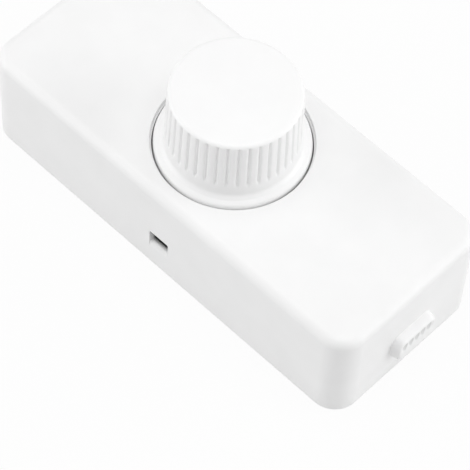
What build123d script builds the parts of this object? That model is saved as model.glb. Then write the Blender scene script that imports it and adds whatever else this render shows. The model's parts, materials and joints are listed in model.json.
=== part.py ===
from build123d import *
from collections import namedtuple
import os

# Rotary dimmer that is fitted into a lamp cord. A moulded cover snaps over a base plate,
# a soft grommet fills the cord inlet at each end, and a grooved knob sits in a round well.
# The base plate carries the cord clamps and the circuit board with the potentiometer.
# Sizes are in millimetres. +Z points up along the knob's axis and X runs along the cord.
# The origin is the middle of the underside.

# Housing, seen from outside
body_length = 92.0
body_width = 38.0
body_height = 23.2
corner_radius = 5.3
top_edge_radius = 2.0
bottom_edge_chamfer = 0.3

# Housing walls
wall = 1.3
roof = 2.0
base_thickness = 2.0
base_clearance = 0.15
stop_rib_width = 1.2
stop_rib_depth = 0.9
stop_rib_height = 14.5
stop_rib_from_end = 12.0
stop_rib_pitch = 12.0

# Round well in the roof, in which the knob turns
well_gap = 0.6
well_depth = 4.0
well_wall = 1.3
well_floor = 1.6
well_rim_bevel = 0.2

# Window in the middle of each long wall, where a flat tool lifts the cover off its catches
window_width = 4.7
window_height = 3.6
window_bottom = 6.6

# Snap hooks of the base plate and the catches on the long walls that hold them
hook_from_end = 18.0
hook_width = 4.2
hook_thickness = 1.5
hook_gap = 0.2
hook_catch_clearance = 0.1
hook_land = 0.5
hook_slope = 1.8
catch_top = 5.2
catch_reach = 0.9
catch_height = 1.4
catch_lead = 0.8
catch_overhang = 0.6

# Grommet in each cord inlet
grommet_width = 10.4
grommet_height = 6.1
grommet_corner = 1.6
grommet_reach = 1.9
grommet_edge = 0.4
grommet_middle = 9.05
grommet_lip = 0.8
grommet_flange = 1.3
grommet_clearance = 0.05
membrane = 1.1
pocket_width = 6.6
pocket_height = 3.0
dimple_count = 5
dimple_pitch = 1.63
dimple_radius = 0.6
dimple_depth = 0.45
dimple_rise = 1.1
recess_width = 9.0
recess_height = 3.2
recess_corner = 0.6
recess_depth = 0.25
recess_rise = 0.7

# Cord clamps
clamp_from_grommet = 1.8
clamp_screw_spacing = 16.0
clamp_bar_length = 21.6
clamp_bar_width = 5.2
clamp_bar_thickness = 2.6
clamp_bar_corner = 1.56
clamp_tooth = 0.8
clamp_pillar_width = 5.2
clamp_pillar_rise = 1.15
saddle_length = 8.0
saddle_drop = 3.65
saddle_rib = 1.0

# Circuit board and its posts
board_end_gap = 2.6
board_side_gap = 2.2
board_thickness = 1.6
board_corner = 1.5
board_notch_clearance = 0.7
post_from_board_end = 3.8
post_from_board_side = 3.5
post_radius = 2.4
pin_radius = 0.4
pin_tail = 1.2
pin_clearance = 0.1

# Screws
Screw = namedtuple("Screw", "head_radius shank_radius head_height shank_length")
screw_clearance = 0.05
board_screw = Screw(2.3, 1.15, 1.5, 4.2)
clamp_screw = Screw(2.6, 1.4, 1.8, 8.6)
sink_screw = Screw(2.7, 1.45, 1.9, 6.1)
slot_width = 0.7
slot_share = 0.45

# Terminal blocks
block_depth = 8.0
block_width = 10.2
block_height = 10.0
block_bevel = 2.0
block_from_board_end = 0.4
pole_pitch = 5.0
mouth_width = 3.6
mouth_height = 3.8
mouth_depth = 6.4
mouth_rise = 1.3
cage_wall = 0.5
cage_length = 5.0
cage_clearance = 0.05
terminal_screw = Screw(1.6, 1.2, 1.4, 3.2)
terminal_screw_sink = 0.5

# Fuse in its clips
fuse_place = -19.5
fuse_length = 20.0
fuse_cap_radius = 2.6
fuse_cap_length = 5.5
fuse_cap_wall = 0.3
fuse_end_wall = 0.6
fuse_glass_wall = 0.5
fuse_fit = 0.05
clip_thickness = 0.45
clip_length = 4.6
clip_lift = 0.6
clip_mouth_angle = 80.0

# Other components: place of the middle, then size
film_capacitor = (-13.4, 0.0, 5.0, 13.0, 10.0)
film_capacitor_pins = 10.0
timing_capacitor_box = (-11.6, -12.4, 7.2, 3.5, 7.0)
timing_capacitor_pins = 5.0
capacitor_edge = 0.4
resistor_places = ((-11.1, 9.4), (-11.1, 12.9))
resistor_length = 6.3
resistor_radius = 1.15
diac_place = (-12.4, -8.6)
diac_length = 4.0
diac_radius = 0.9
lead_overhang = 1.5

# Triac on its heat sink
triac_place = (9.4, -10.4)
triac_body_length = 9.2
triac_width = 10.0
triac_thickness = 4.4
triac_frame_inset = 0.5
tab_length = 6.3
tab_thickness = 1.3
tab_hole_radius = 1.8
tab_hole_place = 3.0
triac_lead_pitch = 2.54
triac_lead_reach = 2.0
sink_length = 15.6
sink_thickness = 1.5
sink_height = 9.5
sink_gap = 0.1
sink_fin_pitch = 4.1
sink_fin_gap = 1.2
nut_across_flats = 5.5
nut_thickness = 2.2

# Choke
choke_place = (17.0, 7.0)
choke_outer_radius = 6.6
choke_inner_radius = 3.7
choke_height = 5.2
choke_corner = 0.8
choke_wire = 0.9
choke_wound_angle = 330.0

# Potentiometer with its switch
shaft_radius = 3.0
shaft_fit = 0.05
shaft_end_gap = 0.4
shaft_flat_depth = 1.5
shaft_flat_above_bushing = 3.8
shaft_chamfer = 0.5
shaft_tail = 1.6
cam_size = 1.4
bushing_wall = 0.75
bushing_stand = 2.2
bushing_hole_clearance = 0.3
bushing_flange_radius = 5.4
bushing_flange = 0.8
pot_radius = 8.5
pot_can_wall = 0.6
pot_can_height = 6.5
pot_can_gap = 0.3
pot_plate = 0.8
switch_height = 4.6
switch_pocket_clearance = 0.5
switch_pocket_depth = 2.6
wafer_thickness = 1.2
wafer_fit = 0.1
track_outer_radius = 6.9
track_width = 1.6
track_thickness = 0.15
track_angle = 300.0
track_start = -60.0
rotor_radius = 6.6
rotor_thickness = 1.6
rotor_rise = 1.5
rotor_fit = 0.02
wiper_thickness = 0.3
wiper_width = 2.4
wiper_gap = 0.3
pot_pin_radius_place = 9.3
pot_pin_angles = (60.0, 90.0, 120.0)
pot_pin_width = 1.0
pot_pin_thickness = 0.5
switch_pin_angles = (225.0, 270.0, 315.0)
switch_pin_circle = 6.0

# Knob
knob_flange_radius = 14.8
knob_flange_edge = 0.35
knob_flange_rise = 0.35
knob_flange_slope_radius = 13.7
knob_root_radius = 12.85
knob_root_rise = 1.5
knob_top_radius = 12.45
knob_height = 15.4
knob_top_edge = 0.9
knob_crown = 0.15
knob_floor_gap = 1.0
knob_wall = 1.5
knob_roof = 1.8
knob_flange_thickness = 1.3
groove_count = 40
groove_start = 3.7
groove_below_top = 1.0
groove_floor = 0.25
groove_flare = 0.55
groove_depth = 0.35
groove_phase = 1.9
hub_radius = 5.4
hub_gap = 0.5
hub_top_gap = 1.75
hub_rib_count = 6
hub_rib_width = 1.1
hub_rib_start = 5.0
hub_bore_fit = 0.05
clip_leaf = 0.4
clip_leaf_width = 3.6
clip_leaf_height = 8.5

# Places that follow from the sizes above, and the overlap of cuts and joined blocks
half_length = body_length / 2
half_width = body_width / 2
inner_length = body_length - 2 * wall
inner_width = body_width - 2 * wall
inner_corner = corner_radius - wall
inner_side = inner_width / 2
hook_place = half_length - hook_from_end
hook_outer = inner_side - catch_reach - hook_gap
hook_inner = hook_outer - hook_thickness
hook_reach = inner_side - hook_gap
hook_catch = catch_top + hook_catch_clearance
hook_tip = hook_catch + hook_land + hook_slope
roof_underside = body_height - roof
well_radius = knob_flange_radius + well_gap
well_floor_top = body_height - well_depth
well_floor_underside = well_floor_top - well_floor
pot_can_top = well_floor_underside - pot_can_gap
pot_bottom = pot_can_top - pot_can_height
wafer_top = pot_bottom + wafer_thickness
board_top = pot_bottom - switch_height
board_underside = board_top - board_thickness
pin_end = board_underside - pin_tail
bushing_radius = shaft_radius + bushing_wall
switch_pocket_radius = shaft_radius + cam_size / 2 + switch_pocket_clearance
bushing_top = well_floor_top + bushing_stand
shaft_flat_start = bushing_top + shaft_flat_above_bushing
shaft_flat = shaft_radius - shaft_flat_depth
shaft_top = body_height + knob_height - knob_roof - hub_top_gap - shaft_end_gap
clamp_place = half_length - wall - grommet_flange - clamp_from_grommet - clamp_bar_width / 2
clamp_pillar_top = grommet_middle + clamp_pillar_rise
saddle_top = grommet_middle - saddle_drop
board_length = 2 * (clamp_place - clamp_pillar_width / 2 - board_end_gap)
board_width = inner_width - 2 * board_side_gap
post_spacing_x = board_length - 2 * post_from_board_end
post_spacing_y = board_width - 2 * post_from_board_side
block_place = board_length / 2 - block_from_board_end - block_depth / 2
over = 1.0


def block(length, width, bottom, top, x=0.0, y=0.0):
    """Upright block between two heights, centred at x, y."""
    return Pos(x, y, (bottom + top) / 2) * Box(length, width, top - bottom)


def rounded_block(length, width, radius, bottom, top):
    """Upright block with rounded upright edges."""
    return Pos(0, 0, bottom) * extrude(RectangleRounded(length, width, radius), top - bottom)


def disc(radius, bottom, top, x=0.0, y=0.0):
    """Upright cylinder between two heights."""
    return Pos(x, y, (bottom + top) / 2) * Cylinder(radius, top - bottom)


def end_plane(x):
    """Plane across the cord at x, with its own x along Y and its own y up."""
    return Plane(origin=(x, 0, 0), x_dir=(0, 1, 0), z_dir=(1, 0, 0))


def end_slab(width, height, radius, start, stop, middle):
    """Rounded bar along X between two places, at the height of its middle."""
    outline = Pos(0, middle, 0) * RectangleRounded(width, height, radius)
    return extrude(end_plane(start) * outline, stop - start)


def both_ends(shape):
    """The shape, and the same shape turned to the other end."""
    return shape + Rot(0, 0, 180) * shape


def corners(spacing_x, spacing_y):
    """The four corners of a rectangle of places."""
    return [(x, y) for x in (-spacing_x / 2, spacing_x / 2) for y in (-spacing_y / 2, spacing_y / 2)]


def slotted_screw(size, seat, x=0.0, y=0.0):
    """Screw with a round slotted head that sits at the height seat."""
    top = seat + size.head_height
    slot_bottom = top - size.head_height * slot_share
    head = disc(size.head_radius, seat, top, x, y)
    head -= block(slot_width, 3 * size.head_radius, slot_bottom, top + over, x, y)
    return head + disc(size.shank_radius, seat - size.shank_length, seat, x, y)


def screw_hole(size, bottom, top, x, y):
    """Cutter for the hole that a screw's shank passes or grips."""
    return disc(size.shank_radius + screw_clearance, bottom, top, x, y)


def pin(x, y, top):
    """Square pin through the board, up to a height."""
    return block(2 * pin_radius, 2 * pin_radius, pin_end, top, x, y)


def bent_lead(x, y, span, height):
    """Lead that rises out of the board, runs along X and goes down again."""
    length = span + 2 * pin_radius
    lead = block(length, 2 * pin_radius, pin_end, height + pin_radius, x, y)
    return lead - block(length - 4 * pin_radius, pole_pitch, pin_end - over, height - pin_radius, x, y)


def well_cup():
    """Wall and floor of the knob's well, hanging from the roof."""
    return disc(well_radius + well_wall, well_floor_underside, body_height - roof / 2)


def stop_ribs():
    """Ribs on the long walls that the base plate stops against."""
    outermost = half_length - stop_rib_from_end
    top = base_thickness + stop_rib_height
    ribs = None
    for x in (-outermost, stop_rib_pitch - outermost, outermost - stop_rib_pitch, outermost):
        for side in (-1, 1):
            y = side * (inner_side - stop_rib_depth / 2 + wall / 4)
            rib = block(stop_rib_width, stop_rib_depth + wall / 2, base_thickness, top, x, y)
            ribs = rib if ribs is None else ribs + rib
    return ribs


def at_four_hooks(shape):
    """The shape moved to the +X, +Y hook, and its three copies at the other hooks."""
    moved = Pos(hook_place, 0, 0) * shape
    return both_ends(moved + mirror(moved, about=Plane.XZ))


def catch_ledge():
    """Ledge on the long wall under a hook's nose, sloped below so that the hook slides past."""
    ledge_bottom = catch_top - catch_height
    outline = Polyline(
        (inner_side + wall / 2, catch_top),
        (inner_side - catch_reach, catch_top),
        (inner_side - catch_reach, ledge_bottom),
        (inner_side, ledge_bottom - catch_lead),
        (inner_side + wall / 2, ledge_bottom - catch_lead),
        close=True,
    )
    return extrude(Plane.YZ * make_face(outline), hook_width / 2 + catch_overhang, both=True)


def cover():
    """Moulded upper shell with the knob well, the side windows and the cord inlets."""
    shell = rounded_block(body_length, body_width, corner_radius, 0, body_height)
    shell = fillet(shell.faces().sort_by(Axis.Z)[-1].edges(), top_edge_radius)
    shell = chamfer(shell.faces().sort_by(Axis.Z)[0].edges(), bottom_edge_chamfer)
    shell -= rounded_block(inner_length, inner_width, inner_corner, -over, roof_underside)
    shell += well_cup() + stop_ribs() + at_four_hooks(catch_ledge())
    shell -= disc(well_radius, well_floor_top, body_height + over)
    shell -= disc(bushing_radius + bushing_hole_clearance, well_floor_underside - over, body_height)
    rim = shell.edges().filter_by(GeomType.CIRCLE)
    rim = rim.filter_by(lambda edge: abs(edge.radius - well_radius) < 0.01).sort_by(Axis.Z)[-1]
    shell = chamfer(rim, well_rim_bevel)
    for side in (-1, 1):
        y = side * (half_width - wall / 2)
        window_top = window_bottom + window_height
        shell -= block(window_width, wall + over, window_bottom, window_top, 0, y)
    inlet = end_slab(
        grommet_width - 2 * grommet_lip,
        grommet_height - 2 * grommet_lip,
        grommet_corner - grommet_lip / 2,
        half_length - wall - over,
        half_length + over,
        grommet_middle,
    )
    return shell - both_ends(inlet)


def snap_hook():
    """Springy arm whose nose rests over a ledge of the cover."""
    outline = Polyline(
        (hook_inner, base_thickness / 2),
        (hook_outer, base_thickness / 2),
        (hook_outer, hook_catch),
        (hook_reach, hook_catch),
        (hook_reach, hook_catch + hook_land),
        (hook_inner + hook_thickness / 2, hook_tip),
        (hook_inner, hook_tip),
        close=True,
    )
    return extrude(Plane.YZ * make_face(outline), hook_width / 2, both=True)


def cord_saddle():
    """Two pillars for a clamp and a low ribbed bed for the cord between them."""
    saddle = block(clamp_bar_width, saddle_length, base_thickness - over, saddle_top, clamp_place, 0)
    for step in (-1, 0, 1):
        rib_x = clamp_place + step * (clamp_bar_width - saddle_rib) / 2
        saddle += block(saddle_rib, saddle_length, saddle_top, saddle_top + saddle_rib, rib_x, 0)
    for side in (-1, 1):
        y = side * clamp_screw_spacing / 2
        pillar = block(
            clamp_pillar_width, clamp_pillar_width, base_thickness - over, clamp_pillar_top, clamp_place, y
        )
        hole_bottom = clamp_pillar_top + clamp_bar_thickness - clamp_screw.shank_length - 2 * screw_clearance
        hole = screw_hole(clamp_screw, hole_bottom, clamp_pillar_top + over, clamp_place, y)
        saddle += pillar - hole
    return saddle


def base_plate():
    """Flat base with snap hooks, board posts and cord saddles."""
    plate = rounded_block(
        inner_length - 2 * base_clearance,
        inner_width - 2 * base_clearance,
        inner_corner - base_clearance,
        0,
        base_thickness,
    )
    plate += at_four_hooks(snap_hook())
    plate += both_ends(cord_saddle())
    for x, y in corners(post_spacing_x, post_spacing_y):
        post = disc(post_radius, base_thickness - over, board_underside, x, y)
        plate += post
        hole_bottom = board_top - board_screw.shank_length - 2 * screw_clearance
        plate -= screw_hole(board_screw, hole_bottom, board_top, x, y)
    return plate


def cord_grommet():
    """Soft closed grommet of the +X inlet, with a row of dimples in a shallow recess."""
    face = half_length + grommet_reach
    head = end_slab(
        grommet_width, grommet_height, grommet_corner, half_length, face, grommet_middle
    )
    head = chamfer(head.faces().sort_by(Axis.X)[-1].edges(), grommet_edge)
    neck_trim = 2 * (grommet_lip + grommet_clearance)
    neck = end_slab(
        grommet_width - neck_trim,
        grommet_height - neck_trim,
        grommet_corner - grommet_lip / 2 - grommet_clearance,
        half_length - wall,
        half_length,
        grommet_middle,
    )
    flange = end_slab(
        grommet_width,
        grommet_height,
        grommet_corner,
        half_length - wall - grommet_flange,
        half_length - wall,
        grommet_middle,
    )
    pocket = end_slab(
        pocket_width,
        pocket_height,
        pocket_height / 3,
        half_length - wall - grommet_flange - over,
        face - membrane,
        grommet_middle,
    )
    recess_floor = face - recess_depth
    recess = end_slab(
        recess_width,
        recess_height,
        recess_corner,
        recess_floor,
        face + over,
        grommet_middle + recess_rise,
    )
    grommet = head + neck + flange - pocket - recess
    for index in range(dimple_count):
        y = (index - (dimple_count - 1) / 2) * dimple_pitch
        dimple = Pos(recess_floor, y, grommet_middle + dimple_rise) * Rot(0, 90, 0)
        grommet -= dimple * Cylinder(dimple_radius, 2 * dimple_depth)
    return grommet


def cord_clamp():
    """Toothed bar that presses the cord down on the +X saddle."""
    top = clamp_pillar_top + clamp_bar_thickness
    bar = block(clamp_bar_width, clamp_bar_length, clamp_pillar_top, top, clamp_place, 0)
    bar = fillet(bar.edges().filter_by(Axis.Z), clamp_bar_corner)
    for step in (-1, 1):
        x = clamp_place + step * clamp_bar_width / 4
        bar += block(
            clamp_tooth, saddle_length, clamp_pillar_top - clamp_tooth, clamp_pillar_top + clamp_tooth, x, 0
        )
    for side in (-1, 1):
        y = side * clamp_screw_spacing / 2
        bar -= screw_hole(clamp_screw, clamp_pillar_top - over, top + over, clamp_place, y)
    return bar


def clamp_screws():
    """The four screws of the two cord clamps."""
    seat = clamp_pillar_top + clamp_bar_thickness
    pair = slotted_screw(clamp_screw, seat, clamp_place, clamp_screw_spacing / 2)
    pair += slotted_screw(clamp_screw, seat, clamp_place, -clamp_screw_spacing / 2)
    return both_ends(pair)


def pin_places():
    """Every place where a component's pin goes through the board."""
    places = [(end * block_place, side * pole_pitch / 2) for end in (-1, 1) for side in (-1, 1)]
    clip_y = (fuse_length - fuse_cap_length) / 2
    places += [(fuse_place, clip_y), (fuse_place, -clip_y)]
    x, y = film_capacitor[:2]
    places += [(x, y - film_capacitor_pins / 2), (x, y + film_capacitor_pins / 2)]
    x, y = timing_capacitor_box[:2]
    places += [(x - timing_capacitor_pins / 2, y), (x + timing_capacitor_pins / 2, y)]
    for x, y in resistor_places:
        places += [(x - lead_span(resistor_length) / 2, y), (x + lead_span(resistor_length) / 2, y)]
    x, y = diac_place
    places += [(x - lead_span(diac_length) / 2, y), (x + lead_span(diac_length) / 2, y)]
    places += triac_pin_places()
    places += choke_pin_places()
    places += ring_places(pot_pin_radius_place, pot_pin_angles)
    places += ring_places(switch_pin_circle, switch_pin_angles)
    return places


def ring_places(radius, angles):
    """Places on a circle about the knob's axis, at angles in degrees."""
    places = []
    for angle in angles:
        point = Vector(radius, 0, 0).rotate(Axis.Z, angle)
        places.append((point.X, point.Y))
    return places


def lead_span(body_length_along_x):
    """Distance between the two leads of a component that lies along X."""
    return body_length_along_x + 2 * lead_overhang


def triac_pin_places():
    """Places of the triac's three leads."""
    x, y = triac_place
    return [(x - triac_lead_reach, y + step * triac_lead_pitch) for step in (-1, 0, 1)]


def choke_pin_places():
    """Places of the choke's two wire ends."""
    x, y = choke_place
    pin_x = x - choke_outer_radius - choke_wire - 2 * pin_radius
    return [(pin_x, y + side * pole_pitch / 4) for side in (-1, 1)]


def circuit_board():
    """Board with its notches for the hooks, screw holes and pin holes."""
    board = rounded_block(board_length, board_width, board_corner, board_underside, board_top)
    notch_inner = hook_inner - board_notch_clearance
    for x, y in corners(2 * hook_place, notch_inner + inner_side):
        board -= block(
            hook_width + 2 * board_notch_clearance,
            inner_side - notch_inner,
            board_underside - over,
            board_top + over,
            x,
            y,
        )
    for x, y in corners(post_spacing_x, post_spacing_y):
        board -= screw_hole(board_screw, board_underside - over, board_top + over, x, y)
    x, y = sink_screw_place()
    board -= screw_hole(sink_screw, board_underside - over, board_top + over, x, y)
    hole = 2 * (pin_radius + pin_clearance)
    for x, y in pin_places():
        board -= block(hole, hole, board_underside - over, board_top + over, x, y)
    return board


def board_screws():
    """The four screws that hold the board on its posts."""
    screws = None
    for x, y in corners(post_spacing_x, post_spacing_y):
        screw = slotted_screw(board_screw, board_top, x, y)
        screws = screw if screws is None else screws + screw
    return screws


def terminal_block():
    """Two-pole terminal block of the +X end, its wire mouths towards the cord."""
    top = board_top + block_height
    body = block(block_depth, block_width, board_top, top, block_place, 0)
    ridge = body.faces().sort_by(Axis.Z)[-1].edges().sort_by(Axis.X)[-1]
    body = chamfer(ridge, block_bevel)
    mouth_bottom = board_top + mouth_rise
    for side in (-1, 1):
        y = side * pole_pitch / 2
        mouth_x = block_place + block_depth / 2 - mouth_depth / 2
        body -= block(mouth_depth, mouth_width, mouth_bottom, mouth_bottom + mouth_height, mouth_x, y)
        shaft_bottom = mouth_bottom + mouth_height / 2
        body -= disc(terminal_screw.head_radius + screw_clearance, shaft_bottom, top + over, block_place, y)
        hole = 2 * (pin_radius + pin_clearance)
        body -= block(hole, hole, board_top - over, mouth_bottom + over, block_place, y)
    return body


def terminal_cages():
    """The wire cages inside both terminal blocks, each with its solder pin."""
    bottom = board_top + mouth_rise + cage_clearance
    width = mouth_width - 2 * cage_clearance
    height = mouth_height - 2 * cage_clearance
    x = block_place + block_depth / 2 - mouth_depth + cage_clearance + cage_length / 2
    pair = None
    for side in (-1, 1):
        y = side * pole_pitch / 2
        cage = block(cage_length, width, bottom, bottom + height, x, y)
        inside_top = bottom + height - cage_wall
        cage -= block(cage_length + over, width - 2 * cage_wall, bottom + cage_wall, inside_top, x, y)
        cage_top = bottom + height + over
        cage -= screw_hole(terminal_screw, bottom + height / 2, cage_top, block_place, y)
        cage += pin(block_place, y, bottom + cage_wall / 2)
        pair = cage if pair is None else pair + cage
    return both_ends(pair)


def terminal_screws():
    """The four screws that clamp the wires in their cages."""
    seat = board_top + block_height - terminal_screw_sink - terminal_screw.head_height
    pair = None
    for side in (-1, 1):
        screw = slotted_screw(terminal_screw, seat, block_place, side * pole_pitch / 2)
        pair = screw if pair is None else pair + screw
    return both_ends(pair)


def fuse_height():
    """Height of the fuse's axis."""
    return board_top + clip_lift + clip_thickness + fuse_fit + fuse_cap_radius


def along_y(radius, start, stop):
    """Cylinder along Y on the fuse's axis."""
    rod = Cylinder(radius, stop - start)
    return Pos(fuse_place, (start + stop) / 2, fuse_height()) * Rot(90, 0, 0) * rod


def fuse_tube():
    """Glass tube of the fuse."""
    outer = fuse_cap_radius - fuse_cap_wall - fuse_fit
    end = fuse_length / 2 - fuse_end_wall
    return along_y(outer, -end, end) - along_y(outer - fuse_glass_wall, -end - over, end + over)


def fuse_caps():
    """The two metal caps of the fuse."""
    end = fuse_length / 2
    cap = along_y(fuse_cap_radius, end - fuse_cap_length, end)
    cap -= along_y(fuse_cap_radius - fuse_cap_wall, end - fuse_cap_length - over, end - fuse_end_wall)
    return cap + mirror(cap, about=Plane.XZ)


def fuse_clips():
    """The two spring clips that hold the fuse's caps."""
    inner = fuse_cap_radius + fuse_fit
    outer = inner + clip_thickness
    middle = (fuse_length - fuse_cap_length) / 2
    start = middle - clip_length / 2
    stop = middle + clip_length / 2
    clip = along_y(outer, start, stop) - along_y(inner, start - over, stop + over)
    gap = 2 * outer * clip_mouth_angle / 120
    clip -= block(gap, clip_length + over, fuse_height(), fuse_height() + 2 * outer, fuse_place, middle)
    foot_top = fuse_height() - inner - clip_thickness / 2
    clip += block(inner, clip_length, board_top, foot_top, fuse_place, middle)
    clip += pin(fuse_place, middle, foot_top)
    return clip + mirror(clip, about=Plane.XZ)


def boxed_capacitor(size, pin_spacing, along):
    """Moulded box capacitor on two pins, spaced along X or along Y."""
    x, y, length, width, height = size
    body = block(length, width, board_top, board_top + height, x, y)
    body = chamfer(body.edges(), capacitor_edge)
    for side in (-1, 1):
        shift = side * pin_spacing / 2
        pin_x = x + shift if along == "x" else x
        pin_y = y + shift if along == "y" else y
        body += pin(pin_x, pin_y, board_top + height / 4)
    return body


def suppression_capacitor():
    """Capacitor across the mains, against interference."""
    return boxed_capacitor(film_capacitor, film_capacitor_pins, "y")


def timing_capacitor():
    """Small capacitor that sets the firing delay with the potentiometer."""
    return boxed_capacitor(timing_capacitor_box, timing_capacitor_pins, "x")


def lying_component(x, y, length, radius):
    """Round body on a bent lead that runs along X."""
    height = board_top + radius + pin_clearance
    body = Pos(x, y, height) * Rot(0, 90, 0) * Cylinder(radius, length)
    return body + bent_lead(x, y, lead_span(length), height)


def resistors():
    """The two resistors of the firing circuit."""
    pair = None
    for x, y in resistor_places:
        one = lying_component(x, y, resistor_length, resistor_radius)
        pair = one if pair is None else pair + one
    return pair


def diac():
    """Glass trigger diode between the timing capacitor and the triac."""
    x, y = diac_place
    return lying_component(x, y, diac_length, diac_radius)


def triac_body():
    """Moulded body of the triac, lying on the heat sink."""
    x, y = triac_place
    bottom = board_top + sink_thickness
    body = block(
        triac_body_length, triac_width, bottom, bottom + triac_thickness, x + triac_body_length / 2, y
    )
    frame = triac_frame_slab()
    leads = triac_leads()
    return body - frame - leads


def triac_frame_slab():
    """Flat metal back of the triac, under its body and beyond it."""
    x, y = triac_place
    bottom = board_top + sink_thickness
    length = triac_body_length + tab_length
    start = triac_frame_inset
    return block(
        length - start, triac_width, bottom, bottom + tab_thickness, x + (length + start) / 2, y
    )


def triac_leads():
    """The triac's three leads, bent down into the board."""
    height = board_top + sink_thickness + triac_thickness / 2
    reach = triac_lead_reach + triac_lead_pitch + pin_radius
    leads = None
    for pin_x, pin_y in triac_pin_places():
        middle = pin_x - pin_radius + reach / 2
        lead = block(reach, 2 * pin_radius, height - pin_radius, height + pin_radius, middle, pin_y)
        lead += pin(pin_x, pin_y, height)
        leads = lead if leads is None else leads + lead
    return leads


def triac_tab():
    """Metal tab and leads of the triac."""
    x, y = sink_screw_place()
    tab = triac_frame_slab()
    tab -= disc(tab_hole_radius, board_top, board_top + 2 * triac_thickness, x, y)
    return tab + triac_leads()


def sink_screw_place():
    """Place of the screw through the triac's tab."""
    x, y = triac_place
    return (x + triac_body_length + tab_hole_place, y)


def heat_sink():
    """Angle of sheet aluminium under the triac, slotted along its upright."""
    x, y = triac_place
    middle = x + sink_length / 2
    width = triac_width + sink_gap + sink_thickness
    foot_y = y - triac_width / 2 + width / 2
    upright_y = y - triac_width / 2 + width - sink_thickness / 2
    sink = block(sink_length, width, board_top, board_top + sink_thickness, middle, foot_y)
    sink += block(sink_length, sink_thickness, board_top, board_top + sink_height, middle, upright_y)
    slots = round(sink_length / sink_fin_pitch)
    for index in range(1, slots):
        slot_x = x + index * sink_length / slots
        slot_bottom = board_top + sink_height / 2
        slot_top = board_top + sink_height + over
        sink -= block(sink_fin_gap, 2 * sink_thickness + over, slot_bottom, slot_top, slot_x, upright_y)
    screw_x, screw_y = sink_screw_place()
    sink -= screw_hole(sink_screw, board_top - over, board_top + 2 * over, screw_x, screw_y)
    return sink


def heat_sink_screw():
    """Screw through the triac's tab, the heat sink and the board."""
    x, y = sink_screw_place()
    return slotted_screw(sink_screw, board_top + sink_thickness + tab_thickness, x, y)


def heat_sink_nut():
    """Hexagon nut under the board."""
    x, y = sink_screw_place()
    outline = RegularPolygon(nut_across_flats / 2, 6, major_radius=False)
    nut = Pos(x, y, board_underside - nut_thickness) * extrude(outline, nut_thickness)
    return nut - screw_hole(sink_screw, 0, board_underside, x, y)


def choke_core():
    """Ring of pressed iron powder."""
    x, y = choke_place
    middle = board_top + choke_wire + choke_height / 2
    return Pos(x, y, middle) * revolve(Plane.XZ * choke_section(0), Axis.Z)


def choke_section(grow):
    """Section of the ring, grown all round."""
    width = choke_outer_radius - choke_inner_radius
    outline = Rectangle(width + 2 * grow, choke_height + 2 * grow)
    return Pos(choke_inner_radius + width / 2, 0, 0) * outline


def choke_winding():
    """Wound layer round the ring, open at the gap between the two wire ends."""
    x, y = choke_place
    middle = board_top + choke_wire + choke_height / 2
    outside = choke_section(choke_wire)
    outside = chamfer(outside.vertices(), choke_corner)
    layer = Plane.XZ * (outside - choke_section(screw_clearance))
    wound = revolve(layer, Axis.Z, choke_wound_angle)
    turn = 180 + (360 - choke_wound_angle) / 2
    winding = Pos(x, y, middle) * Rot(0, 0, turn) * wound
    for pin_x, pin_y in choke_pin_places():
        length = 4 * pin_radius + choke_wire
        wire_x = pin_x + choke_wire
        winding += block(length, 2 * pin_radius, board_top, board_top + choke_wire, wire_x, pin_y)
        winding += pin(pin_x, pin_y, board_top + choke_wire)
    return winding


def pot_can():
    """Metal can of the potentiometer, open below."""
    can = disc(pot_radius, pot_bottom, pot_can_top)
    can = chamfer(can.faces().sort_by(Axis.Z)[-1].edges(), pot_can_wall)
    can -= disc(pot_radius - pot_can_wall, pot_bottom - over, pot_can_top - pot_plate)
    can -= disc(bushing_radius + screw_clearance, pot_bottom, pot_can_top + over)
    for angle in pot_pin_angles:
        opening = pot_pin_width + over / 2
        slot = block(over + 2 * pot_can_wall, opening, pot_bottom - over, wafer_top, pot_radius, 0)
        can -= Rot(0, 0, angle) * slot
    return can


def pot_bushing():
    """Collar in which the shaft turns, its flange under the can's plate."""
    flange_top = pot_can_top - pot_plate
    collar = disc(bushing_radius, flange_top - bushing_flange / 2, bushing_top)
    collar = chamfer(collar.faces().sort_by(Axis.Z)[-1].edges(), shaft_chamfer / 2)
    collar += disc(bushing_flange_radius, flange_top - bushing_flange, flange_top)
    return collar - disc(shaft_radius + shaft_fit, pot_bottom, bushing_top + over)


def pot_wafer():
    """Insulating wafer that closes the can and carries the carbon track."""
    wafer = disc(pot_radius - pot_can_wall - wafer_fit, pot_bottom, wafer_top)
    return wafer - disc(shaft_radius + 2 * shaft_fit, pot_bottom - over, wafer_top + over)


def carbon_track():
    """Resistive track, a ring with a gap."""
    track_inner = track_outer_radius - track_width
    outline = Pos(track_inner + track_width / 2, 0, wafer_top + track_thickness / 2) * Rot(90, 0, 0)
    section = outline * Rectangle(track_width, track_thickness)
    return Rot(0, 0, track_start) * revolve(section, Axis.Z, track_angle)


def pot_terminals():
    """The three flat terminals of the track, bent down into the board."""
    terminals = None
    middle = pot_bottom + wafer_thickness / 2
    wafer_edge = pot_radius - pot_can_wall - wafer_fit
    reach = pot_pin_radius_place + pot_pin_thickness / 2 - wafer_edge
    for angle in pot_pin_angles:
        arm = block(
            reach, pot_pin_width, middle - pot_pin_thickness / 2, middle + pot_pin_thickness / 2,
            wafer_edge + reach / 2, 0,
        )
        arm += block(pot_pin_thickness, pot_pin_width, board_top, middle, pot_pin_radius_place, 0)
        terminal = Rot(0, 0, angle) * arm
        x, y = ring_places(pot_pin_radius_place, (angle,))[0]
        terminal += pin(x, y, board_top + over)
        terminals = terminal if terminals is None else terminals + terminal
    return terminals


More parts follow.
